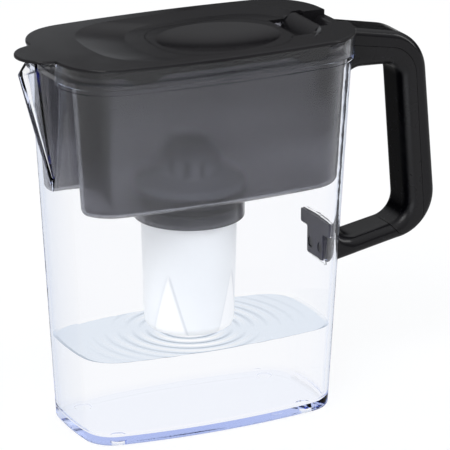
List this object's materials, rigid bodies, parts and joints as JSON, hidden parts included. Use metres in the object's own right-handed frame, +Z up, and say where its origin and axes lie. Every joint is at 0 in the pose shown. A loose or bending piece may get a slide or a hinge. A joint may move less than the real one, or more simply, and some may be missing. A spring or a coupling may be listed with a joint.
{
  "type": "water filter pitcher",
  "caption": "Tall clear filter pitcher with a V-shaped spout, D handle, hanging hopper, cartridge filter and a dished lid with a hinged fill door.",
  "frame": {"origin": "centre of the base's underside, on the table", "axes": "+X towards the handle, -X towards the spout, +Y across the pitcher, +Z up"},
  "size_m": [0.2985, 0.1232, 0.262],
  "materials": {
    "clear_plastic": "clear gloss",
    "smoke_plastic": "translucent smoke gloss",
    "black_satin": "satin",
    "black_grip": "soft satin",
    "dark_plastic": "satin",
    "steel": "drawn",
    "white_plastic": "fine matte",
    "seal_rubber": "matte",
    "screen_cloth": "woven",
    "carbon": "granular",
    "felt": "felt",
    "resin": "granular"
  },
  "bodies": {
    "jug": {"jug_body": "clear_plastic", "handle_back_shell": "black_satin", "handle_grip_shell": "black_grip", "handle_foot": "dark_plastic", "handle_screws": "steel"},
    "hopper": {"reservoir": "smoke_plastic"},
    "filter": {"filter_canister": "white_plastic", "filter_outlet": "white_plastic", "filter_cap": "white_plastic", "filter_seal": "seal_rubber", "inlet_screen": "screen_cloth", "carbon_bed": "carbon", "felt_pad": "felt", "resin_bed": "resin", "outlet_screen": "screen_cloth"},
    "lid": {"lid_shell": "black_satin", "hinge_pin": "steel"},
    "door": {"fill_door": "black_satin", "thumb_lever": "black_satin"}
  },
  "joints": [
    {"name": "reservoir_lift", "type": "slide", "parent": "jug", "child": "hopper", "axis": [0, 0, 1], "range_m": [0, 0.2]},
    {"name": "filter_lift", "type": "slide", "parent": "hopper", "child": "filter", "axis": [0, 0, 1], "range_m": [0, 0.045]},
    {"name": "lid_lift", "type": "slide", "parent": "hopper", "child": "lid", "axis": [0, 0, 1], "range_m": [0, 0.08]},
    {"name": "door_hinge", "type": "hinge", "parent": "lid", "child": "door", "pos_m": [0.081, 0, 0.2552], "axis": [0, 1, 0], "range_deg": [0, 95]}
  ]
}
